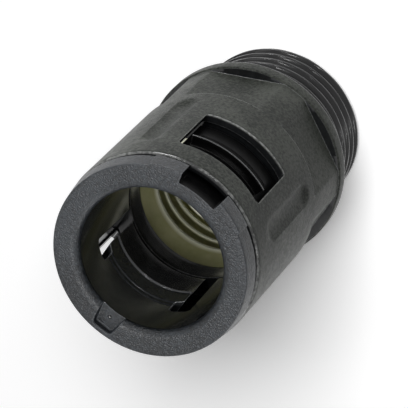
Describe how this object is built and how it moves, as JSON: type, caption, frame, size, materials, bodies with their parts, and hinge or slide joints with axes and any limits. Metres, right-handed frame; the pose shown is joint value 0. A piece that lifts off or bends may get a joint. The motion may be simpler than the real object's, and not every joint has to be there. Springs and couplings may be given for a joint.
{
  "type": "liquidtight conduit connector",
  "caption": "Straight quick-fit connector for corrugated plastic conduit: threaded spigot, hexagon body, windowed sleeve, sliding locking ring with claws and a lipped profile seal.",
  "frame": {"origin": "centre of the collar's seating face, on the connector's axis", "axes": "+Z along the connector towards the conduit mouth, +X through the ring's screwdriver notch and the middle of one window; the thread points down -Z"},
  "size_m": [0.0234, 0.0234, 0.0414],
  "materials": {
    "body_plastic": "fine matte moulded surface, glossy in the windows and bore",
    "ring_plastic": "fine spark-textured face, glossy bore and claws",
    "seal_rubber": "satin olive-grey elastomer"
  },
  "bodies": {
    "housing": {"body": "body_plastic", "seal": "seal_rubber"},
    "ring": {"locking_ring": "ring_plastic"}
  },
  "joints": [
    {"name": "ring_slide", "type": "slide", "parent": "housing", "child": "ring", "axis": [0, 0, 1], "range_m": [0, 0.0024]}
  ]
}
